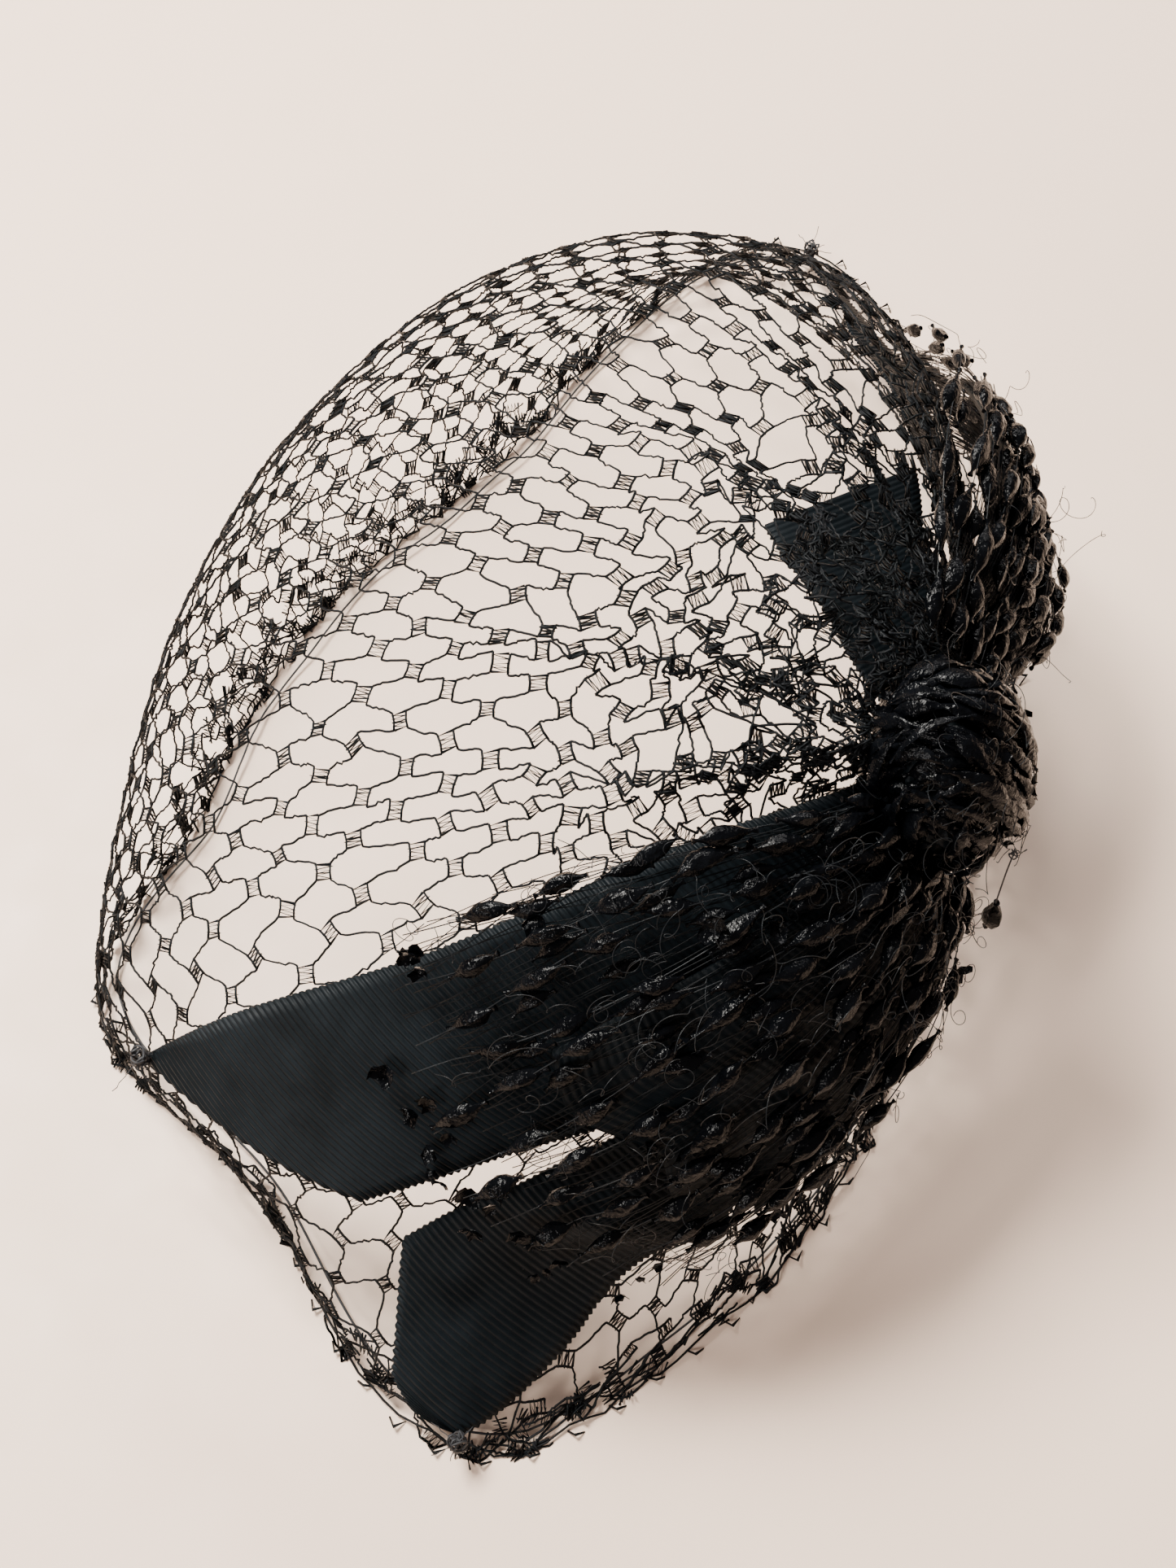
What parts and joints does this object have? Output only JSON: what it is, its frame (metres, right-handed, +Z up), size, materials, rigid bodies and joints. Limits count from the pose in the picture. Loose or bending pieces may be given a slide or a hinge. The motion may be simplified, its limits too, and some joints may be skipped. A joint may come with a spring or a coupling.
{
  "type": "veil hat",
  "caption": "Small dress hat: a dome of black hexagonal veiling on a hem, with ribbon tails and a bow of beaded wings that lift.",
  "frame": {"origin": "centre of the hat's box on the surface it rests on", "axes": "+Z up, X along the hat's length, the bow on the -Y side"},
  "size_m": [0.2642, 0.1515, 0.086],
  "materials": {
    "net": "matte nylon veiling",
    "ribbon": "ribbed grosgrain",
    "horsehair": "open stiff weave",
    "beads": "crumpled glossy cellophane",
    "thread": "twisted sewing thread"
  },
  "bodies": {
    "hat": {"bow_knot": "horsehair", "gather_thread": "thread", "knot_wrap_1": "beads", "knot_wrap_2": "beads", "knot_wrap_3": "beads", "knot_wrap_4": "beads", "knot_wrap_5": "beads", "net_tuft": "net", "rim_cord": "thread", "rim_hem": "net", "tack_far_front": "thread", "tack_near_back": "thread", "tack_near_front": "thread", "tail_far_front": "ribbon", "tail_inner": "ribbon", "tail_near_back": "ribbon", "tail_near_front": "ribbon", "veil_net": "net"},
    "near_wing": {"near_wing_cloth": "horsehair", "near_wing_string_1": "beads", "near_wing_string_2": "beads", "near_wing_string_3": "beads", "near_wing_string_4": "beads", "near_wing_string_5": "beads", "near_wing_string_6": "beads", "near_wing_string_7": "beads", "near_wing_string_8": "beads", "near_wing_string_9": "beads", "near_wing_string_10": "beads", "near_wing_string_11": "beads"},
    "far_wing": {"far_wing_cloth": "horsehair", "far_wing_string_1": "beads", "far_wing_string_2": "beads", "far_wing_string_3": "beads", "far_wing_string_4": "beads", "far_wing_string_5": "beads", "far_wing_string_6": "beads", "far_wing_string_7": "beads", "far_wing_string_8": "beads"},
    "loose_bead": {"loose_bead": "beads", "loose_thread": "thread"}
  },
  "joints": [
    {"name": "near_wing_lift", "type": "hinge", "parent": "hat", "child": "near_wing", "pos_m": [-0.0382, -0.0534, 0.0546], "axis": [-0.186, 0.477, 0.859], "range_deg": [0, 15], "stiffness_Nm_per_rad": 0.05},
    {"name": "far_wing_lift", "type": "hinge", "parent": "hat", "child": "far_wing", "pos_m": [-0.0017, -0.0573, 0.0591], "axis": [0.032, -0.2941, -0.9552], "range_deg": [0, 12], "stiffness_Nm_per_rad": 0.05},
    {"name": "loose_bead_swing", "type": "hinge", "parent": "hat", "child": "loose_bead", "pos_m": [-0.0316, -0.0701, 0.0461], "axis": [1, 0, 0], "range_deg": [-35, 15]}
  ]
}
